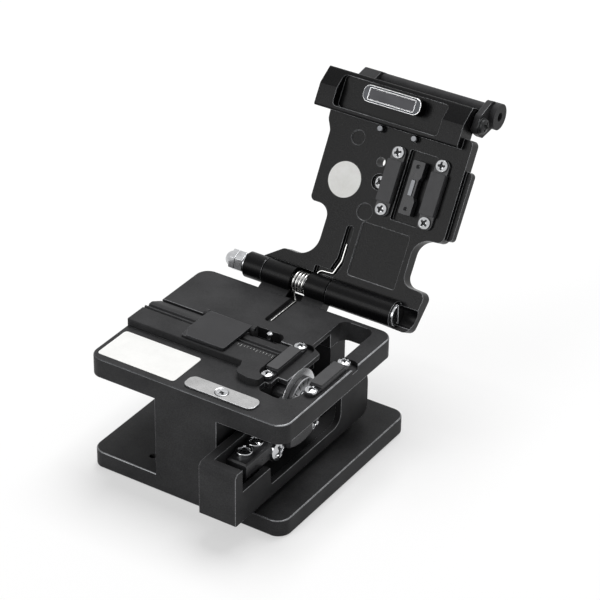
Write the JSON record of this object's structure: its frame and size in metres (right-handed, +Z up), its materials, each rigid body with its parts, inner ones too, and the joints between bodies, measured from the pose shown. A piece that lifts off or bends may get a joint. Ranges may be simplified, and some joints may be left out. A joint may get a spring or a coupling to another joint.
{
  "type": "optical fibre cleaver",
  "caption": "Bench cleaver for optical fibre: sliding blade carriage under a deck, fibre guide with clamps, and a sprung magnetic lid.",
  "frame": {"origin": "centre of the base's underside", "axes": "+X to the user's right, +Y away from the user, +Z up"},
  "size_m": [0.0682, 0.1137, 0.0891],
  "materials": {
    "anodised_body": "black anodised, fine satin",
    "anodised_lid": "black anodised, smoother and glossier",
    "anodised_arm": "black anodised, satin",
    "foot_rubber": "matt rubber sheet",
    "bare_label": "bare white vinyl",
    "bare_sticker": "bare pale vinyl disc",
    "ground_steel": "ground and nickel plated",
    "plated_screw": "bright nickel",
    "black_screw": "black oxide",
    "spring_steel": "drawn wire",
    "clamp_rubber": "matt black rubber",
    "blade_carbide": "polished carbide",
    "dial_metal": "clear anodised, engraved lines",
    "leaf_metal": "black leaf",
    "magnet_metal": "nickel plated magnet",
    "rail_steel": "ground rail steel"
  },
  "bodies": {
    "frame": {"main_frame": "anodised_body", "base_pad": "foot_rubber", "front_label": "bare_label", "strike_plate": "ground_steel", "strike_screw": "plated_screw", "fibre_guide": "anodised_body", "guide_cover_pin": "plated_screw", "index_post": "plated_screw", "lower_clamp_left": "anodised_arm", "lower_clamp_right": "anodised_arm", "lower_clamp_pads": "clamp_rubber", "lower_clamp_screws": "plated_screw", "lid_spring": "spring_steel", "linear_rail": "rail_steel", "rail_screws": "black_screw"},
    "carriage": {"carriage": "anodised_body", "rail_block": "rail_steel", "rail_block_screws": "black_screw", "blade_arm": "anodised_arm", "height_screws": "plated_screw", "jack_screws": "plated_screw", "arm_screws": "plated_screw", "arm_spring": "spring_steel", "blade_axle_screw": "plated_screw"},
    "wheel": {"blade_wheel": "blade_carbide", "index_hub": "dial_metal"},
    "cover": {"guide_cover": "leaf_metal"},
    "lid": {"lid": "anodised_lid", "round_label": "bare_sticker", "magnet_holder": "plated_screw", "magnet": "magnet_metal", "stop_pins": "rail_steel", "trim_screw": "plated_screw", "upper_clamp_left": "anodised_arm", "upper_clamp_right": "anodised_arm", "upper_clamp_pads": "clamp_rubber", "upper_clamp_screws": "plated_screw", "lid_spring_leg": "spring_steel", "anvil_pins": "plated_screw", "lever_pivot_pin": "plated_screw", "lever_washer": "plated_screw", "lever_pivot_screw": "black_screw", "hinge_shaft": "plated_screw", "hinge_lock_nut": "plated_screw", "hinge_washer": "plated_screw", "acorn_nut": "plated_screw"},
    "anvil": {"anvil_arm": "anodised_arm", "anvil_tip": "rail_steel"},
    "lever": {"grip_lever": "anodised_lid"}
  },
  "joints": [
    {"name": "lid_hinge", "type": "hinge", "parent": "frame", "child": "lid", "pos_m": [0, 0.02825, 0.0385], "axis": [1, 0, 0], "range_deg": [0, 121], "stiffness_Nm_per_rad": 0.012, "springref_deg": -20.05},
    {"name": "carriage_slide", "type": "slide", "parent": "frame", "child": "carriage", "axis": [0, 1, 0], "range_m": [0, 0.012]},
    {"name": "wheel_index", "type": "hinge", "parent": "carriage", "child": "wheel", "pos_m": [0.0216, -0.00975, 0.02965], "axis": [1, 0, 0], "continuous": true},
    {"name": "cover_hinge", "type": "hinge", "parent": "frame", "child": "cover", "pos_m": [-0.0071, 0.00065, 0.0383], "axis": [1, 0, 0], "range_deg": [-100, 0]},
    {"name": "anvil_press", "type": "slide", "parent": "lid", "child": "anvil", "axis": [0, -0.8572, 0.515], "range_m": [0, 0.0008], "stiffness_N_per_m": 60, "springref_m": -0.0003},
    {"name": "lever_pivot", "type": "hinge", "parent": "lid", "child": "lever", "pos_m": [0.014, 0.06119, 0.08381], "axis": [1, 0, 0], "range_deg": [0, 12]}
  ]
}
